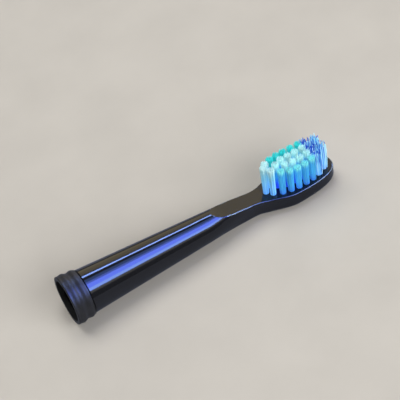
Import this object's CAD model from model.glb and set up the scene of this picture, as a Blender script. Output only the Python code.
import math
import random

import bpy
from bpy.props import FloatProperty, FloatVectorProperty, IntProperty, PointerProperty
from mathutils import Matrix, Vector


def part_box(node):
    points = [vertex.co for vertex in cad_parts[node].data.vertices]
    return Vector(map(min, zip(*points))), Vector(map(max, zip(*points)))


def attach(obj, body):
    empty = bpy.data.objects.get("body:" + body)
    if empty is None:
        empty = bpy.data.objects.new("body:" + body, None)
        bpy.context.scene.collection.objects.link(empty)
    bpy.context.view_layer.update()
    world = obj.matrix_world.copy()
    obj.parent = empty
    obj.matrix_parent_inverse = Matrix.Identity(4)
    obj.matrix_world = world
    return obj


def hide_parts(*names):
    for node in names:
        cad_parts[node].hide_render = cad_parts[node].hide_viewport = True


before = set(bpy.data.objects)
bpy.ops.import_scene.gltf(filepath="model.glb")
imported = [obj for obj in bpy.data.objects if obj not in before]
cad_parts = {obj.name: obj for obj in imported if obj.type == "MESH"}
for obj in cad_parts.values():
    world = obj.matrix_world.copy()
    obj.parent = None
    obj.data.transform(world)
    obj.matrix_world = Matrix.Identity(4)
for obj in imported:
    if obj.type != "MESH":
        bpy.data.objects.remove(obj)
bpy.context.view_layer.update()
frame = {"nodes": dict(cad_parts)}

bl_info = {
    "name": "Toothbrush Head",
    "version": (1, 0, 0),
    "blender": (4, 5, 0),
    "location": "View3D > Sidebar > Brush Head",
    "description": "Filament tufts, finishes and a small studio for an electric toothbrush head",
    "category": "Add Mesh",
}

# Facts of the moulded part, in metres, read from the frame where a node holds them
HOLE_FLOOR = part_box("tuft_4_1")[0].z
RING_CREST_STATION = 0.0017
RING_CREST_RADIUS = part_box("base_ring")[1].y
RING_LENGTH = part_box("base_ring")[1].x
HEAD_START = 0.055

# Steps of the ring's section: along each half wave and round the mouth's edge
WAVE_STEPS = 6
EDGE_STEPS = 4

# Cosines between normals: a face is flat, or two faces meet flush, above these
FLAT_ENOUGH = 0.999999
FLUSH_ENOUGH = 0.985

# Triangles that share a corner to this many decimals of a metre are joined there
JOIN_DECIMALS = 7

# Ring: share of the outer rounding that its bore has at the mouth, its seam and its soft edges
INNER_EDGE_SHARE = 0.5
SEAM_DISTANCE = 0.000005
RING_SMOOTH_ANGLE = math.radians(35.0)

# Rounded rim of the neck and head: where it starts, how its faces lean, and where it is rubbed least
RIM_START = 0.0468
RIM_LEAN = (0.55, 0.97)
RIM_FRESH_STATION = 0.061
RIM_FRESH_REACH = 0.003
RIM_RUBBED_REACH = 0.012

# Tufts: columns from the heel to the toe, as the nodes are named
PALE_COLUMNS = (0, 1)
MIXED_COLUMNS = (7, 8)
TUFT_NODES = sorted(
    name for name in frame["nodes"] if name.startswith("tuft_") and name != "tuft_anchors"
)

# Rod that each filament is a copy of: its length, sides, cuts, and the rounding of its end in radii
ROD_LENGTH = 0.01
ROD_SIDES = 6
ROD_CUTS = 4
ROD_ROUNDING = 0.75
ROD_ROUND_STEPS = 2
ROD_END = 0.99 * ROD_LENGTH
ROD_SMOOTH_ANGLE = math.radians(50.0)

# Bundle in a tuft: its width in the hole against the solid, its crown, its uneven ends and its foot
ROOT_SHARE = 0.8
CROWN_SHARE = 0.04
UNEVEN_ENDS = 1.6
FOOT_CLEARANCE = 0.0003

# Nylon: darkest and lightest filament, share of light let through, glow at the tip, share of strand colour
FILAMENT_LIGHTNESS = (0.8, 1.12)
LIGHT_THROUGH = 0.35
TIP_GLOW = 0.1
STRAND_SHARE = 0.85

# Filaments in a round tuft: how many lie in a radius of one pitch, and the turn from each one to the next
CLOSE_PACKING = math.pi * 2 / math.sqrt(3.0)
GOLDEN_ANGLE = math.pi * (3.0 - math.sqrt(5.0))

# Camera of the picture, in the part's frame
CAMERA_PLACE = (-0.052045, -0.221888, 0.265775)
CAMERA_RIGHT = (0.85446767, -0.50383783, -0.12661925)
CAMERA_DOWN = (-0.4466086, -0.58791281, -0.67446221)
CAMERA_FORWARD = (0.2653785, 0.63285541, -0.72737081)
CAMERA_LENS = 123.867
CAMERA_SENSOR = 36.0
CAMERA_REACH = (0.01, 20.0)

# Floor and lamps: places and sizes in metres
FLOOR_SIZE = 6.0
FLOOR_CUTS = 8
LAMP_TARGET = (0.05, 0.0, 0.0)
KEY_PLACE = (0.0, 0.35, 1.0)
KEY_SIZE = (0.8, 0.8)
KEY_TINT = (1.0, 0.99, 0.97)
FILL_PLACE = (0.35, -0.9, 0.55)
FILL_SIZE = (1.0, 0.8)
FILL_TINT = (0.97, 0.98, 1.0)

# The room as it lights the part, as it is seen behind the floor, and as gloss shows it
ROOM_TINT = (1.0, 0.98, 0.96, 1.0)
ROOM_SEEN = (0.86, 0.85, 0.83, 1.0)
ROOM_IN_GLOSS = (0.09, 0.1, 0.13, 1.0)

# Long lamps beside the tube that only gloss shows: name, angle round the tube's axis and width in degrees,
# radiance, and for the last one, which stands beyond the toe, the station of its middle and its length
STRIP_DISTANCE = 0.8
STRIP_MIDDLE = 0.5
STRIP_LENGTH = 1.05
STRIPS = (
    ("warm_card", 30.0, 42.0, (1.1, 0.92, 0.58)),
    ("bright_strip", 60.0, 8.0, (7.0, 11.0, 26.0)),
    ("dim_blue_box", 87.0, 14.0, (0.45, 0.95, 3.0)),
    ("middle_blue_box", 99.0, 10.0, (1.3, 2.1, 9.0)),
    ("blue_box", 115.0, 22.0, (2.7, 4.4, 21.0)),
    ("pale_blue_box", 133.0, 14.0, (4.6, 7.6, 20.0)),
    ("warm_edge", 146.5, 11.0, (1.15, 1.1, 1.0)),
    ("toe_card", 105.0, 40.0, (6.0, 6.6, 9.0), 1.5, 0.9),
)


class FilamentSettings(bpy.types.PropertyGroup):
    """Sizes and colours of the bristle filaments."""

    diameter: FloatProperty(
        name="Filament Diameter",
        description="Thickness of one nylon filament",
        default=0.00018,
        min=0.0001,
        max=0.0004,
        unit="LENGTH",
        precision=5,
    )
    pitch: FloatProperty(
        name="Filament Pitch",
        description="Distance between neighbouring filaments at the face",
        default=0.0002,
        min=0.0001,
        max=0.0005,
        unit="LENGTH",
        precision=5,
    )
    flare: FloatProperty(
        name="Tuft Flare",
        description="Width of a tuft's tip against the solid it stands for",
        default=1.14,
        min=0.8,
        max=2.0,
    )
    toe_flare: FloatProperty(
        name="Toe Tuft Flare",
        description="The same for the loose mixed tufts at the toe",
        default=1.7,
        min=0.8,
        max=2.0,
    )
    scatter: FloatProperty(
        name="Tip Scatter",
        description="How far a filament's tip strays from its place in the tuft",
        default=0.00008,
        min=0.0,
        max=0.0005,
        unit="LENGTH",
        precision=5,
    )
    toe_scatter: FloatProperty(
        name="Toe Tip Scatter",
        description="How far a tip strays in the loose mixed tufts at the toe",
        default=0.0004,
        min=0.0,
        max=0.0008,
        unit="LENGTH",
        precision=5,
    )
    bow: FloatProperty(
        name="Filament Bow",
        description="Sideways bow of a filament at half its length",
        default=0.00005,
        min=0.0,
        max=0.0005,
        unit="LENGTH",
        precision=5,
    )
    toe_bow: FloatProperty(
        name="Toe Filament Bow",
        description="Sideways bow of a filament of the mixed tufts",
        default=0.00022,
        min=0.0,
        max=0.0005,
        unit="LENGTH",
        precision=5,
    )
    toe_lean: FloatProperty(
        name="Toe Lean",
        description="How far the tips of the mixed tufts lean back towards the heel",
        default=0.0005,
        min=0.0,
        max=0.001,
        unit="LENGTH",
        precision=5,
    )
    toe_strand: FloatProperty(
        name="Toe Strand",
        description="Share of the mixed filaments that have the colour of the one beside them",
        default=0.5,
        min=0.0,
        max=0.95,
    )
    seed: IntProperty(
        name="Seed",
        description="Start of the random draws, so that each run gives the same tufts",
        default=7,
        min=0,
    )
    root: FloatVectorProperty(
        name="Root Colour",
        description="Main tufts close to the face",
        subtype="COLOR",
        default=(0.12, 0.48, 1.0),
        min=0.0,
        max=1.0,
    )
    middle: FloatVectorProperty(
        name="Middle Colour",
        description="Main tufts at half their length",
        subtype="COLOR",
        default=(0.12, 0.68, 0.97),
        min=0.0,
        max=1.0,
    )
    top: FloatVectorProperty(
        name="Top Colour",
        description="Main tufts below the tips",
        subtype="COLOR",
        default=(0.13, 0.7, 0.98),
        min=0.0,
        max=1.0,
    )
    deep: FloatVectorProperty(
        name="Deep Colour",
        description="Lower ends of the inner rows, seen between the near tufts",
        subtype="COLOR",
        default=(0.075, 0.22, 0.95),
        min=0.0,
        max=1.0,
    )
    tip: FloatVectorProperty(
        name="Tip Colour",
        description="Ends of the filaments in the near row",
        subtype="COLOR",
        default=(0.42, 1.0, 0.97),
        min=0.0,
        max=1.0,
    )
    inner_tip: FloatVectorProperty(
        name="Inner Tip Colour",
        description="Ends of the filaments in the inner rows",
        subtype="COLOR",
        default=(0.72, 1.0, 1.0),
        min=0.0,
        max=1.0,
    )
    far_tip: FloatVectorProperty(
        name="Far Tip Colour",
        description="Ends of the filaments in the far row",
        subtype="COLOR",
        default=(0.09, 0.9, 0.89),
        min=0.0,
        max=1.0,
    )
    heel_root: FloatVectorProperty(
        name="Heel Root Colour",
        description="Pale tufts at the heel, close to the face",
        subtype="COLOR",
        default=(0.26, 0.66, 1.0),
        min=0.0,
        max=1.0,
    )
    heel_top: FloatVectorProperty(
        name="Heel Top Colour",
        description="Pale tufts at the heel, below the tips",
        subtype="COLOR",
        default=(0.46, 0.88, 1.0),
        min=0.0,
        max=1.0,
    )
    heel_tip: FloatVectorProperty(
        name="Heel Tip Colour",
        description="Ends of the filaments of the heel tufts",
        subtype="COLOR",
        default=(0.8, 1.0, 1.0),
        min=0.0,
        max=1.0,
    )
    toe_dark: FloatVectorProperty(
        name="Toe Dark Colour",
        description="Deep blue filaments of the mixed tufts",
        subtype="COLOR",
        default=(0.03, 0.08, 0.85),
        min=0.0,
        max=1.0,
    )
    toe_middle: FloatVectorProperty(
        name="Toe Middle Colour",
        description="Bright blue filaments of the mixed tufts",
        subtype="COLOR",
        default=(0.2, 0.66, 1.0),
        min=0.0,
        max=1.0,
    )
    toe_pale: FloatVectorProperty(
        name="Toe Pale Colour",
        description="Pale filaments of the mixed tufts",
        subtype="COLOR",
        default=(0.68, 0.95, 1.0),
        min=0.0,
        max=1.0,
    )


class RingSettings(bpy.types.PropertyGroup):
    """Sizes of the ridged base ring."""

    mouth: FloatProperty(
        name="Mouth Radius",
        description="Bore of the ring, which slips over the body's spigot",
        default=0.0057,
        min=0.005,
        max=0.0062,
        unit="LENGTH",
        precision=5,
    )
    edge: FloatProperty(
        name="Mouth Edge",
        description="Rounding of the mouth's outer edge",
        default=0.00022,
        min=0.0001,
        max=0.0008,
        unit="LENGTH",
        precision=5,
    )
    lip_fall: FloatProperty(
        name="Lip Fall",
        description="How much lower the lip at the mouth is than the ridge",
        default=0.00012,
        min=0.0,
        max=0.0004,
        unit="LENGTH",
        precision=5,
    )
    hollow_fall: FloatProperty(
        name="Hollow Fall",
        description="How much lower the hollow behind the lip is than the ridge",
        default=0.00015,
        min=0.0,
        max=0.0006,
        unit="LENGTH",
        precision=5,
    )
    groove_fall: FloatProperty(
        name="Groove Fall",
        description="How much lower the groove is than the ridge",
        default=0.00044,
        min=0.0,
        max=0.0008,
        unit="LENGTH",
        precision=5,
    )
    bead_fall: FloatProperty(
        name="Bead Fall",
        description="How much lower the narrow bead is than the ridge",
        default=0.00024,
        min=0.0,
        max=0.0006,
        unit="LENGTH",
        precision=5,
    )
    rear_fall: FloatProperty(
        name="Rear Fall",
        description="How much lower the rear edge is than the ridge",
        default=0.00052,
        min=0.0,
        max=0.0008,
        unit="LENGTH",
        precision=5,
    )
    hollow_station: FloatProperty(
        name="Hollow Station",
        description="Distance of the hollow from the mouth",
        default=0.0006,
        min=0.0004,
        max=0.0015,
        unit="LENGTH",
        precision=5,
    )
    groove_station: FloatProperty(
        name="Groove Station",
        description="Distance of the groove from the mouth",
        default=0.0029,
        min=0.0024,
        max=0.0038,
        unit="LENGTH",
        precision=5,
    )
    bead_station: FloatProperty(
        name="Bead Station",
        description="Distance of the narrow bead from the mouth",
        default=0.0041,
        min=0.0038,
        max=0.0048,
        unit="LENGTH",
        precision=5,
    )
    sides: IntProperty(
        name="Sides",
        description="Steps round the ring",
        default=144,
        min=24,
        max=256,
    )


class FinishSettings(bpy.types.PropertyGroup):
    """Colours of the moulded and metal pieces."""

    body: FloatVectorProperty(
        name="Body Colour",
        description="Gloss black moulding",
        subtype="COLOR",
        default=(0.006, 0.006, 0.007),
        min=0.0,
        max=1.0,
    )
    rub: FloatVectorProperty(
        name="Rub Colour",
        description="Rim of the head and neck where it is rubbed",
        subtype="COLOR",
        default=(0.2, 0.27, 0.33),
        min=0.0,
        max=1.0,
    )
    ring: FloatVectorProperty(
        name="Ring Colour",
        description="Satin dark grey ring",
        subtype="COLOR",
        default=(0.0195, 0.0196, 0.0202),
        min=0.0,
        max=1.0,
    )
    socket: FloatVectorProperty(
        name="Socket Colour",
        description="Matt insert inside the tube",
        subtype="COLOR",
        default=(0.022, 0.022, 0.024),
        min=0.0,
        max=1.0,
    )
    clip: FloatVectorProperty(
        name="Clip Colour",
        description="Spring steel leaf",
        subtype="COLOR",
        default=(0.55, 0.55, 0.56),
        min=0.0,
        max=1.0,
    )
    anchor: FloatVectorProperty(
        name="Anchor Colour",
        description="Metal strips that hold the tufts",
        subtype="COLOR",
        default=(0.6, 0.48, 0.26),
        min=0.0,
        max=1.0,
    )


class StageSettings(bpy.types.PropertyGroup):
    """Floor and lamps."""

    floor: FloatVectorProperty(
        name="Floor Colour",
        description="Plain pale floor",
        subtype="COLOR",
        default=(0.58, 0.55, 0.505),
        min=0.0,
        max=1.0,
    )
    floor_in_gloss: FloatVectorProperty(
        name="Floor in Gloss",
        description="Tone that the glossy body shows of the floor",
        subtype="COLOR",
        default=(0.30, 0.32, 0.40),
        min=0.0,
        max=1.0,
    )
    key: FloatProperty(
        name="Key Power",
        description="Large soft lamp overhead",
        default=7.0,
        min=0.0,
        unit="POWER",
    )
    fill: FloatProperty(
        name="Fill Power",
        description="Large soft lamp on the camera's side",
        default=10.5,
        min=0.0,
        unit="POWER",
    )
    room: FloatProperty(
        name="Room Light",
        description="Strength of the even light from the room",
        default=0.22,
        min=0.0,
    )


class BrushSettings(bpy.types.PropertyGroup):
    """All settings of the brush head."""

    filaments: PointerProperty(type=FilamentSettings)
    ring: PointerProperty(type=RingSettings)
    finishes: PointerProperty(type=FinishSettings)
    stage: PointerProperty(type=StageSettings)


def deselect_all():
    """Nothing stays selected, so an operator acts only on what is chosen next."""
    if bpy.context.object is not None and bpy.context.object.mode != "OBJECT":
        bpy.ops.object.mode_set(mode="OBJECT")
    bpy.ops.object.select_all(action="DESELECT")


def new_material(name):
    """A material and its Principled shader."""
    material = bpy.data.materials.new(name)
    material.use_nodes = True
    return material, material.node_tree.nodes["Principled BSDF"]


def add_attribute(material, name):
    """A value that the piece's own mesh holds under this name."""
    attribute = material.node_tree.nodes.new("ShaderNodeAttribute")
    attribute.attribute_name = name
    return attribute.outputs["Fac"]


def add_noise(material, scale, detail, stretch=(1.0, 1.0, 1.0)):
    """Noise on the Object coordinate, drawn out along the piece by stretch."""
    nodes, links = material.node_tree.nodes, material.node_tree.links
    coordinate = nodes.new("ShaderNodeTexCoord")
    mapping = nodes.new("ShaderNodeMapping")
    mapping.inputs["Scale"].default_value = stretch
    noise = nodes.new("ShaderNodeTexNoise")
    noise.inputs["Scale"].default_value = scale
    noise.inputs["Detail"].default_value = detail
    links.new(coordinate.outputs["Object"], mapping.inputs["Vector"])
    links.new(mapping.outputs["Vector"], noise.inputs["Vector"])
    return noise.outputs["Fac"]


def add_range(material, source, low, high, from_low=0.35, from_high=0.65):
    """A plain value between low and high, led by a noise or an attribute."""
    nodes, links = material.node_tree.nodes, material.node_tree.links
    span = nodes.new("ShaderNodeMapRange")
    span.inputs["From Min"].default_value = from_low
    span.inputs["From Max"].default_value = from_high
    span.inputs["To Min"].default_value = low
    span.inputs["To Max"].default_value = high
    links.new(source, span.inputs["Value"])
    return span.outputs["Result"]


def add_ramp(material, source, stops):
    """A colour ramp with the given (place, colour) stops."""
    nodes, links = material.node_tree.nodes, material.node_tree.links
    ramp = nodes.new("ShaderNodeValToRGB")
    elements = ramp.color_ramp.elements
    while len(elements) < len(stops):
        elements.new(0.5)
    for element, (place, colour) in zip(elements, stops):
        element.position = place
        element.color = (*colour, 1.0)
    links.new(source, ramp.inputs["Fac"])
    return ramp.outputs["Color"]


def add_tone(material, source, colour, dark, light, places=(0.3, 0.7)):
    """The colour made darker and lighter, as a noise rises from the first place to the second."""
    factors = (dark, light)
    return add_ramp(material, source, [(place, scaled(colour, by)) for place, by in zip(places, factors)])


def add_mix(material, factor, first, second):
    """Two colours mixed by a factor. Each of the three is a socket or a plain value."""
    nodes, links = material.node_tree.nodes, material.node_tree.links
    mix = nodes.new("ShaderNodeMix")
    mix.data_type = "RGBA"
    for socket, value in ((mix.inputs[0], factor), (mix.inputs[6], first), (mix.inputs[7], second)):
        if isinstance(value, bpy.types.NodeSocket):
            links.new(value, socket)
        elif isinstance(value, float):
            socket.default_value = value
        else:
            socket.default_value = (*value, 1.0)
    return mix.outputs[2]


def add_bump(material, shader, height, strength, distance):
    """A fine relief on the shader's normal."""
    nodes, links = material.node_tree.nodes, material.node_tree.links
    bump = nodes.new("ShaderNodeBump")
    bump.inputs["Strength"].default_value = strength
    bump.inputs["Distance"].default_value = distance
    links.new(height, bump.inputs["Height"])
    links.new(bump.outputs["Normal"], shader.inputs["Normal"])


def scaled(colour, factor):
    """A colour made darker or lighter, within the range of a colour."""
    return tuple(min(1.0, channel * factor) for channel in colour)


def body_material(colour, rub):
    """Gloss black moulding with faint flow marks, fine handling marks and a rubbed rim."""
    material, shader = new_material("gloss_black_moulding")
    links = material.node_tree.links
    flow = add_noise(material, scale=90.0, detail=4.0, stretch=(0.3, 1.0, 1.0))
    handling = add_noise(material, scale=2600.0, detail=2.0, stretch=(0.12, 1.0, 1.0))
    tone = add_tone(material, flow, colour, dark=0.8, light=1.3)
    rubbed = add_attribute(material, "rubbed")
    links.new(add_mix(material, rubbed, tone, rub), shader.inputs["Base Color"])
    links.new(add_range(material, handling, low=0.07, high=0.13), shader.inputs["Roughness"])
    shader.inputs["IOR"].default_value = 1.5
    add_bump(material, shader, flow, strength=0.06, distance=0.00004)
    return material


def ring_material(colour):
    """Satin ring with a fine grain and paler rubbed places."""
    material, shader = new_material("satin_grey_ring")
    links = material.node_tree.links
    grain = add_noise(material, scale=9000.0, detail=2.0)
    rubbed = add_noise(material, scale=420.0, detail=5.0, stretch=(2.0, 1.0, 1.0))
    tone = add_tone(material, rubbed, colour, dark=1.0, light=1.35, places=(0.4, 0.75))
    links.new(tone, shader.inputs["Base Color"])
    links.new(add_range(material, rubbed, low=0.36, high=0.46), shader.inputs["Roughness"])
    shader.inputs["Specular IOR Level"].default_value = 0.24
    add_bump(material, shader, grain, strength=0.25, distance=0.00002)
    return material


def socket_material(colour):
    """Matt insert with a fine sparked texture."""
    material, shader = new_material("matt_black_insert")
    links = material.node_tree.links
    grain = add_noise(material, scale=5200.0, detail=3.0)
    tone = add_tone(material, grain, colour, dark=0.75, light=1.4, places=(0.35, 0.7))
    links.new(tone, shader.inputs["Base Color"])
    links.new(add_range(material, grain, low=0.5, high=0.62), shader.inputs["Roughness"])
    add_bump(material, shader, grain, strength=0.3, distance=0.00003)
    return material


def metal_material(name, colour, grain_stretch):
    """Bare metal with a drawn grain."""
    material, shader = new_material(name)
    links = material.node_tree.links
    grain = add_noise(material, scale=4200.0, detail=3.0, stretch=grain_stretch)
    tone = add_tone(material, grain, colour, dark=0.82, light=1.1)
    links.new(tone, shader.inputs["Base Color"])
    links.new(add_range(material, grain, low=0.24, high=0.4), shader.inputs["Roughness"])
    shader.inputs["Metallic"].default_value = 1.0
    return material


def filament_material(name, stops, glow, strands=None):
    """Nylon filament: the colour runs along its length, and each filament is a little lighter or darker.

    The nylon leads light down from its tip, and glow is how much of it comes out close to the face.
    With strands given, each filament of the tuft is of one of these colours.
    """
    material, shader = new_material(name)
    nodes, links = material.node_tree.nodes, material.node_tree.links
    along = add_attribute(material, "along")
    tone = add_attribute(material, "tone")
    colour = add_ramp(material, along, stops)
    if strands is not None:
        colour = add_mix(material, STRAND_SHARE, colour, add_ramp(material, tone, strands))
    darkest, lightest = FILAMENT_LIGHTNESS
    lightness = add_range(material, tone, darkest, lightest, from_low=0.0, from_high=1.0)
    shade = nodes.new("ShaderNodeHueSaturation")
    links.new(lightness, shade.inputs["Value"])
    links.new(colour, shade.inputs["Color"])
    links.new(shade.outputs["Color"], shader.inputs["Base Color"])
    shader.inputs["Roughness"].default_value = 0.4
    shader.inputs["IOR"].default_value = 1.53
    links.new(shade.outputs["Color"], shader.inputs["Emission Color"])
    shining = add_range(material, along, glow, TIP_GLOW, from_low=0.2, from_high=0.9)
    links.new(shining, shader.inputs["Emission Strength"])
    through = nodes.new("ShaderNodeBsdfTranslucent")
    links.new(shade.outputs["Color"], through.inputs["Color"])
    both = nodes.new("ShaderNodeMixShader")
    both.inputs["Fac"].default_value = LIGHT_THROUGH
    links.new(shader.outputs["BSDF"], both.inputs[1])
    links.new(through.outputs["BSDF"], both.inputs[2])
    links.new(both.outputs["Shader"], nodes["Material Output"].inputs["Surface"])
    return material


def give_material(piece, material):
    """The piece's only material slot holds this material."""
    if not piece.material_slots:
        piece.data.materials.append(material)
    for slot in piece.material_slots:
        slot.material = material


def model_filament(name, radius, bow):
    """One filament, standing on the origin: a six-sided rod with a rounded end and a slight bow."""
    deselect_all()
    bpy.ops.mesh.primitive_cylinder_add(
        vertices=ROD_SIDES, radius=radius, depth=ROD_LENGTH, location=(0.0, 0.0, ROD_LENGTH / 2)
    )
    filament = bpy.context.object
    filament.name = name
    bpy.ops.object.transform_apply(location=True, rotation=True, scale=True)
    mesh = filament.data

    def choose_edges(test):
        bpy.ops.object.mode_set(mode="OBJECT")
        for part in (mesh.vertices, mesh.edges, mesh.polygons):
            part.foreach_set("select", [False] * len(part))
        for edge in mesh.edges:
            first, last = (mesh.vertices[index].co for index in edge.vertices)
            edge.select = test(first, last)
        bpy.ops.object.mode_set(mode="EDIT")

    bpy.ops.object.mode_set(mode="EDIT")
    bpy.ops.mesh.select_mode(type="EDGE")
    choose_edges(lambda first, last: abs(first.z - last.z) > ROD_LENGTH / 2)
    bpy.ops.mesh.subdivide(number_cuts=ROD_CUTS)
    choose_edges(lambda first, last: min(first.z, last.z) > ROD_END)
    bpy.ops.mesh.bevel(offset=ROD_ROUNDING * radius, segments=ROD_ROUND_STEPS, affect="EDGES")
    bpy.ops.object.mode_set(mode="OBJECT")
    for vertex in mesh.vertices:
        share = vertex.co.z / ROD_LENGTH
        # The bow is nothing at both ends and whole at half the length
        vertex.co.x += bow * 4.0 * share * (1.0 - share)
    along = mesh.attributes.new("along", "FLOAT", "POINT")
    along.data.foreach_set("value", [vertex.co.z / ROD_LENGTH for vertex in mesh.vertices])
    mesh.attributes.new("tone", "FLOAT", "POINT")
    bpy.ops.object.shade_smooth_by_angle(angle=ROD_SMOOTH_ANGLE)
    return filament


def filament_places(radius, pitch):
    """Places of the filaments in a tuft of this radius, spread evenly over its round hole, row by row."""
    count = round(CLOSE_PACKING * (radius / pitch) ** 2)
    places = []
    for index in range(count):
        reach = radius * math.sqrt((index + 0.5) / count)
        turn = index * GOLDEN_ANGLE
        places.append(Vector((reach * math.cos(turn), reach * math.sin(turn))))
    return sorted(places, key=lambda place: (round(place.y / pitch), place.x))


def model_tuft(node, filament, settings, flare, scatter, lean=0.0, strand=0.0):
    """A bundle of filaments in the place of one solid tuft: straight in its hole, flared to the tip."""
    low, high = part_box(node)
    middle = Vector(((low.x + high.x) / 2, (low.y + high.y) / 2))
    solid_radius = (high.x - low.x) / 2 - settings.diameter / 2
    root_radius = ROOT_SHARE * solid_radius
    tip_radius = flare * solid_radius
    crown = CROWN_SHARE * tip_radius
    draw = random.Random(settings.seed + TUFT_NODES.index(node))
    tone = 0.0
    copies = []
    for place in filament_places(root_radius, settings.pitch):
        share = place.length / root_radius
        stray = Vector((draw.uniform(-1.0, 1.0), draw.uniform(-1.0, 1.0))) * scatter
        reach = place * (tip_radius / root_radius) + stray
        if reach.length > tip_radius:
            reach *= tip_radius / reach.length
        foot = Vector((*(middle + place), HOLE_FLOOR + FOOT_CLEARANCE))
        drop = crown * share**2 + draw.uniform(0.0, UNEVEN_ENDS) * scatter
        end = Vector((*(middle + reach), high.z - settings.diameter / 2 - drop))
        end.x -= lean
        run = end - foot
        twist = Matrix.Rotation(draw.uniform(0.0, math.tau), 3, "Z").to_quaternion()
        turn = run.to_track_quat("Z", "Y") @ twist
        copy = filament.copy()
        copy.data = filament.data.copy()
        copy.matrix_world = Matrix.LocRotScale(foot, turn, (1.0, 1.0, run.length / ROD_LENGTH))
        # In a mixed tuft a filament often has the tone of the one beside it
        if not copies or strand == 0.0 or draw.random() > strand:
            tone = draw.random()
        copy.data.attributes["tone"].data.foreach_set("value", [tone] * len(copy.data.vertices))
        bpy.context.collection.objects.link(copy)
        copies.append(copy)
    deselect_all()
    for copy in copies:
        copy.select_set(True)
    bpy.context.view_layer.objects.active = copies[0]
    bpy.ops.object.join()
    tuft = bpy.context.object
    bpy.ops.object.transform_apply(location=True, rotation=True, scale=True)
    tuft.name = node.replace("tuft_", "filaments_")
    tuft.data.name = tuft.name
    return tuft


def join_copy(node, name):
    """A piece with the node's own shape, its loose triangles joined, and the node's normal at each corner."""
    source = frame["nodes"][node].data
    places = {}
    joined = []
    for vertex in source.vertices:
        place = tuple(round(value, JOIN_DECIMALS) for value in vertex.co)
        joined.append(places.setdefault(place, len(places)))
    faces = []
    normals = []
    for face in source.polygons:
        corners = [joined[vertex] for vertex in face.vertices]
        if len(set(corners)) < len(corners):
            continue
        faces.append(corners)
        normals += [source.corner_normals[loop].vector.copy() for loop in face.loop_indices]
    mesh = bpy.data.meshes.new(name)
    mesh.from_pydata(list(places), [], faces)
    mesh.shade_smooth()
    piece = bpy.data.objects.new(name, mesh)
    bpy.context.collection.objects.link(piece)
    return piece, normals


def even_normals(mesh, corners):
    """Smooth faces that meet nearly flush share their normals, so that gloss runs on across the seam.

    Flat faces keep their own normal, and a rounded edge takes it over where it meets one.
    """
    flat = [False] * len(corners)
    meeting = {}
    for face in mesh.polygons:
        level = all(corners[loop].dot(face.normal) > FLAT_ENOUGH for loop in face.loop_indices)
        for loop, vertex in zip(face.loop_indices, face.vertices):
            flat[loop] = level
            meeting.setdefault(vertex, []).append(loop)
    normals = list(corners)
    for loops in meeting.values():
        for loop in loops:
            if flat[loop]:
                continue
            flush = [other for other in loops if corners[other].dot(corners[loop]) > FLUSH_ENOUGH]
            level = [other for other in flush if flat[other]]
            normals[loop] = sum((corners[other] for other in level or flush), Vector()).normalized()
    mesh.normals_split_custom_set(normals)


def mark_rubbed_rim(mesh):
    """The rounded rim is rubbed paler towards the toe and along the neck."""
    rubbed = []
    for face in mesh.polygons:
        share = 0.0
        if face.center.x > RIM_START and RIM_LEAN[0] < face.normal.z < RIM_LEAN[1]:
            away = abs(face.center.x - RIM_FRESH_STATION)
            share = (away - RIM_FRESH_REACH) / (RIM_RUBBED_REACH - RIM_FRESH_REACH)
        rubbed.append(min(1.0, max(0.0, share)))
    mesh.attributes.new("rubbed", "FLOAT", "FACE").data.foreach_set("value", rubbed)


class BRUSHHEAD_OT_make_body(bpy.types.Operator):
    """Makes the moulded body with its gloss black finish"""

    bl_idname = "brushhead.make_body"
    bl_label = "Make Body"

    def execute(self, context):
        finishes = context.scene.brush_head.finishes
        body, normals = join_copy("brush_body", "moulded_body")
        even_normals(body.data, normals)
        mark_rubbed_rim(body.data)
        give_material(body, body_material(finishes.body, finishes.rub))
        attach(body, "root")
        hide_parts("brush_body")
        return {"FINISHED"}


def wave(start, end):
    """Points after start on a half wave to end, each a (station, radius) pair, level at both ends."""
    points = []
    for step in range(1, WAVE_STEPS + 1):
        share = step / WAVE_STEPS
        rise = (1.0 - math.cos(math.pi * share)) / 2
        points.append((start[0] + (end[0] - start[0]) * share, start[1] + (end[1] - start[1]) * rise))
    return points


def ring_profile(settings):
    """Half section of the ring: rounded mouth, lip, hollow, ridge, groove, bead, rear face and bore."""
    lip = RING_CREST_RADIUS - settings.lip_fall
    crests = [
        (settings.edge, lip),
        (settings.hollow_station, RING_CREST_RADIUS - settings.hollow_fall),
        (RING_CREST_STATION, RING_CREST_RADIUS),
        (settings.groove_station, RING_CREST_RADIUS - settings.groove_fall),
        (settings.bead_station, RING_CREST_RADIUS - settings.bead_fall),
        (RING_LENGTH, RING_CREST_RADIUS - settings.rear_fall),
    ]
    points = []
    for step in range(EDGE_STEPS):
        turn = math.radians(90.0 * step / EDGE_STEPS)
        rise = settings.edge * math.sin(turn)
        points.append((settings.edge * (1.0 - math.cos(turn)), lip - settings.edge + rise))
    points.append(crests[0])
    for start, end in zip(crests, crests[1:]):
        points += wave(start, end)
    inner_edge = INNER_EDGE_SHARE * settings.edge
    points.append((RING_LENGTH, settings.mouth))
    points.append((inner_edge, settings.mouth))
    points.append((0.0, settings.mouth + inner_edge))
    return points


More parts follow.
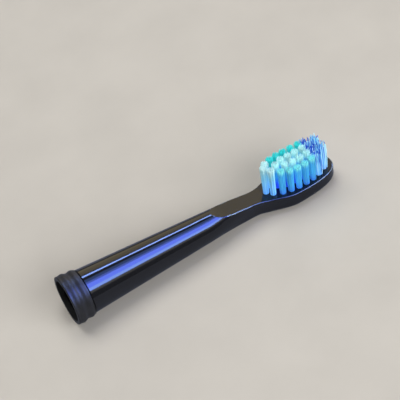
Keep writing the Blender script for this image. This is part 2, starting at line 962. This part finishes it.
def model_ring(name, settings):
    """The ring, drawn out along the tube's axis section by section and closed on itself."""
    points = ring_profile(settings)
    station, radius = points[0]
    deselect_all()
    bpy.ops.mesh.primitive_circle_add(
        vertices=settings.sides, radius=radius, location=(station, 0.0, 0.0), rotation=(0.0, math.pi / 2, 0.0)
    )
    ring = bpy.context.object
    ring.name = name
    ring.data.name = name
    bpy.ops.object.transform_apply(location=True, rotation=True, scale=True)
    bpy.ops.object.mode_set(mode="EDIT")
    bpy.ops.mesh.select_mode(type="EDGE")
    bpy.ops.mesh.select_all(action="SELECT")
    for next_station, next_radius in points[1:] + points[:1]:
        bpy.ops.mesh.extrude_edges_move(TRANSFORM_OT_translate={"value": (next_station - station, 0.0, 0.0)})
        growth = next_radius / radius
        bpy.ops.transform.resize(value=(1.0, growth, growth), center_override=(next_station, 0.0, 0.0))
        station, radius = next_station, next_radius
    bpy.ops.mesh.select_all(action="SELECT")
    bpy.ops.mesh.remove_doubles(threshold=SEAM_DISTANCE)
    bpy.ops.mesh.normals_make_consistent(inside=False)
    bpy.ops.object.mode_set(mode="OBJECT")
    bpy.ops.object.shade_smooth_by_angle(angle=RING_SMOOTH_ANGLE)
    return ring


class BRUSHHEAD_OT_make_ring(bpy.types.Operator):
    """Models the ridged base ring with its satin grey finish"""

    bl_idname = "brushhead.make_ring"
    bl_label = "Make Ring"

    def execute(self, context):
        settings = context.scene.brush_head
        ring = model_ring("ridged_ring", settings.ring)
        give_material(ring, ring_material(settings.finishes.ring))
        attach(ring, "root")
        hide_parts("base_ring")
        return {"FINISHED"}


class BRUSHHEAD_OT_finish_inside(bpy.types.Operator):
    """Gives the drive socket, its clip and the tuft anchors their finishes"""

    bl_idname = "brushhead.finish_inside"
    bl_label = "Finish Inside"

    def execute(self, context):
        finishes = context.scene.brush_head.finishes
        nodes = frame["nodes"]
        give_material(nodes["drive_socket"], socket_material(finishes.socket))
        leaf = metal_material("spring_steel_leaf", finishes.clip, grain_stretch=(0.1, 1.0, 1.0))
        give_material(nodes["shaft_clip"], leaf)
        strip = metal_material("anchor_strip", finishes.anchor, grain_stretch=(1.0, 0.1, 1.0))
        give_material(nodes["tuft_anchors"], strip)
        return {"FINISHED"}


def filament_materials(settings):
    """The finish of each kind of tuft. A stop is a share of the filament's length and the colour there."""
    shaft = [(0.2, settings.root), (0.5, settings.middle), (0.84, settings.top)]
    deep_shaft = [(0.35, settings.deep), (0.6, settings.middle), (0.74, settings.top)]
    heel_shaft = [(0.2, settings.heel_root), (0.78, settings.heel_top)]
    strands = [(0.3, settings.toe_dark), (0.42, settings.toe_middle), (0.7, settings.toe_pale)]
    near = shaft + [(1.0, settings.tip)]
    inner = deep_shaft + [(0.88, settings.inner_tip)]
    far = shaft[:2] + [(0.78, settings.far_tip)]
    heel = heel_shaft + [(0.98, settings.heel_tip)]
    return {
        "near": filament_material("aqua_filament", near, glow=0.16),
        "inner": filament_material("pale_tipped_filament", inner, glow=0.34),
        "far": filament_material("teal_tipped_filament", far, glow=0.12),
        "heel": filament_material("pale_blue_filament", heel, glow=0.36),
        "toe": filament_material("mixed_blue_filament", shaft, glow=0.2, strands=strands),
    }


def tuft_kinds():
    """The kind of each tuft, by its column from the heel and its row across the head."""
    places = {}
    last_rows = {}
    for node in TUFT_NODES:
        _, column, row = node.split("_")
        places[node] = (int(column), int(row))
        last_rows[int(column)] = max(last_rows.get(int(column), 0), int(row))
    kinds = {}
    for node, (column, row) in places.items():
        if column in PALE_COLUMNS:
            kinds[node] = "heel"
        elif column in MIXED_COLUMNS:
            kinds[node] = "toe"
        elif row == 1:
            kinds[node] = "near"
        elif row == last_rows[column]:
            kinds[node] = "far"
        else:
            kinds[node] = "inner"
    return kinds


class BRUSHHEAD_OT_make_tufts(bpy.types.Operator):
    """Models every tuft as a bundle of rounded nylon filaments"""

    bl_idname = "brushhead.make_tufts"
    bl_label = "Make Tufts"

    def execute(self, context):
        settings = context.scene.brush_head.filaments
        materials = filament_materials(settings)
        straight = model_filament("filament", settings.diameter / 2, settings.bow)
        bowed = model_filament("toe_filament", settings.diameter / 2, settings.toe_bow)
        loose = (settings.toe_flare, settings.toe_scatter, settings.toe_lean, settings.toe_strand)
        for node, kind in tuft_kinds().items():
            if kind == "toe":
                tuft = model_tuft(node, bowed, settings, *loose)
            else:
                tuft = model_tuft(node, straight, settings, settings.flare, settings.scatter)
            give_material(tuft, materials[kind])
            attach(tuft, "root")
            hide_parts(node)
        bpy.data.objects.remove(straight)
        bpy.data.objects.remove(bowed)
        return {"FINISHED"}


def rest_slope():
    """Slope of the floor under the part, which lies on its ring and on the back of its head."""
    slopes = []
    for vertex in frame["nodes"]["brush_body"].data.vertices:
        if vertex.co.x > HEAD_START:
            slopes.append((vertex.co.z + RING_CREST_RADIUS) / (vertex.co.x - RING_CREST_STATION))
    return min(slopes)


def add_lamp(name, place, target, size, power, colour):
    """A soft rectangular lamp that faces a target."""
    lamp = bpy.data.lights.new(name, "AREA")
    lamp.shape = "RECTANGLE"
    lamp.size, lamp.size_y = size
    lamp.energy = power
    lamp.color = colour
    holder = bpy.data.objects.new(name, lamp)
    bpy.context.collection.objects.link(holder)
    holder.location = place
    holder.rotation_euler = (Vector(target) - Vector(place)).to_track_quat("-Z", "Y").to_euler()
    return holder


def add_strip(name, angle, width, radiance, middle=STRIP_MIDDLE, length=STRIP_LENGTH):
    """A long lamp beside the tube that shows in gloss only, at this angle round the tube's axis."""
    span = 2 * STRIP_DISTANCE * math.tan(math.radians(width / 2))
    along = Vector((1.0, 0.0, 0.0))
    outward = Vector((0.0, math.cos(math.radians(angle)), math.sin(math.radians(angle))))
    across = outward.cross(along)
    strongest = max(radiance)
    power = strongest * math.pi * span * length
    colour = tuple(channel / strongest for channel in radiance)
    place = along * middle + outward * STRIP_DISTANCE
    lamp = add_lamp(name, place, along * middle, (length, span), power, colour)
    lamp.rotation_euler = Matrix((along, across, outward)).transposed().to_euler()
    lamp.visible_diffuse = False
    lamp.visible_transmission = False


class BRUSHHEAD_OT_set_stage(bpy.types.Operator):
    """Builds the floor, the lamps and the camera"""

    bl_idname = "brushhead.set_stage"
    bl_label = "Set Stage"

    def execute(self, context):
        settings = context.scene.brush_head.stage
        self.build_floor(settings)
        self.light(context, settings)
        self.place_camera(context)
        context.scene.view_settings.view_transform = "Standard"
        return {"FINISHED"}

    def build_floor(self, settings):
        deselect_all()
        bpy.ops.mesh.primitive_plane_add(size=FLOOR_SIZE)
        floor = bpy.context.object
        floor.name = "floor"
        bpy.ops.object.mode_set(mode="EDIT")
        bpy.ops.mesh.select_all(action="SELECT")
        bpy.ops.mesh.subdivide(number_cuts=FLOOR_CUTS)
        bpy.ops.object.mode_set(mode="OBJECT")
        slope = rest_slope()
        for vertex in floor.data.vertices:
            vertex.co.z = slope * (vertex.co.x - RING_CREST_STATION) - RING_CREST_RADIUS
        material, shader = new_material("pale_floor")
        nodes, links = material.node_tree.nodes, material.node_tree.links
        speckle = add_noise(material, scale=60.0, detail=4.0)
        tone = add_tone(material, speckle, settings.floor, dark=0.97, light=1.03)
        links.new(tone, shader.inputs["Base Color"])
        shader.inputs["Roughness"].default_value = 0.8
        shader.inputs["Specular IOR Level"].default_value = 0.0
        in_gloss = nodes.new("ShaderNodeBsdfDiffuse")
        in_gloss.inputs["Color"].default_value = (*settings.floor_in_gloss, 1.0)
        path = nodes.new("ShaderNodeLightPath")
        choose = nodes.new("ShaderNodeMixShader")
        links.new(path.outputs["Is Glossy Ray"], choose.inputs["Fac"])
        links.new(shader.outputs["BSDF"], choose.inputs[1])
        links.new(in_gloss.outputs["BSDF"], choose.inputs[2])
        links.new(choose.outputs["Shader"], nodes["Material Output"].inputs["Surface"])
        give_material(floor, material)

    def light(self, context, settings):
        world = bpy.data.worlds.new("studio")
        context.scene.world = world
        world.use_nodes = True
        nodes, links = world.node_tree.nodes, world.node_tree.links
        background = nodes["Background"]
        background.inputs["Strength"].default_value = settings.room
        background.inputs["Color"].default_value = ROOM_TINT
        path = nodes.new("ShaderNodeLightPath")
        lit = background
        for ray, tint in (("Is Glossy Ray", ROOM_IN_GLOSS), ("Is Camera Ray", ROOM_SEEN)):
            shown = nodes.new("ShaderNodeBackground")
            shown.inputs["Color"].default_value = tint
            choose = nodes.new("ShaderNodeMixShader")
            links.new(path.outputs[ray], choose.inputs["Fac"])
            links.new(lit.outputs[0], choose.inputs[1])
            links.new(shown.outputs["Background"], choose.inputs[2])
            lit = choose
        links.new(lit.outputs[0], nodes["World Output"].inputs["Surface"])
        key = add_lamp("key", KEY_PLACE, LAMP_TARGET, KEY_SIZE, settings.key, KEY_TINT)
        key.visible_glossy = False
        fill = add_lamp("fill", FILL_PLACE, LAMP_TARGET, FILL_SIZE, settings.fill, FILL_TINT)
        fill.visible_glossy = False
        for strip in STRIPS:
            add_strip(*strip)

    def place_camera(self, context):
        lens = bpy.data.cameras.new("camera")
        lens.lens = CAMERA_LENS
        lens.sensor_width = CAMERA_SENSOR
        lens.clip_start, lens.clip_end = CAMERA_REACH
        camera = bpy.data.objects.new("camera", lens)
        context.collection.objects.link(camera)
        turn = Matrix((CAMERA_RIGHT, -Vector(CAMERA_DOWN), -Vector(CAMERA_FORWARD))).transposed()
        camera.matrix_world = Matrix.Translation(CAMERA_PLACE) @ turn.to_4x4()
        context.scene.camera = camera


class BRUSHHEAD_PT_panel(bpy.types.Panel):
    """Steps of the brush head, in order"""

    bl_idname = "BRUSHHEAD_PT_panel"
    bl_label = "Brush Head"
    bl_space_type = "VIEW_3D"
    bl_region_type = "UI"
    bl_category = "Brush Head"

    def draw(self, context):
        settings = context.scene.brush_head
        layout = self.layout
        for group in (settings.filaments, settings.ring, settings.finishes, settings.stage):
            box = layout.box()
            for name in group.__annotations__:
                box.prop(group, name)
        for step in STEPS:
            layout.operator(step.bl_idname)


STEPS = (
    BRUSHHEAD_OT_make_body,
    BRUSHHEAD_OT_make_ring,
    BRUSHHEAD_OT_finish_inside,
    BRUSHHEAD_OT_make_tufts,
    BRUSHHEAD_OT_set_stage,
)
SETTINGS = (FilamentSettings, RingSettings, FinishSettings, StageSettings, BrushSettings)
CLASSES = (*SETTINGS, *STEPS, BRUSHHEAD_PT_panel)


def register():
    for part in CLASSES:
        bpy.utils.register_class(part)
    bpy.types.Scene.brush_head = PointerProperty(type=BrushSettings)


def unregister():
    del bpy.types.Scene.brush_head
    for part in reversed(CLASSES):
        bpy.utils.unregister_class(part)


def main():
    register()
    bpy.ops.brushhead.make_body()
    bpy.ops.brushhead.make_ring()
    bpy.ops.brushhead.finish_inside()
    bpy.ops.brushhead.make_tufts()
    bpy.ops.brushhead.set_stage()


if __name__ == "__main__":
    main()
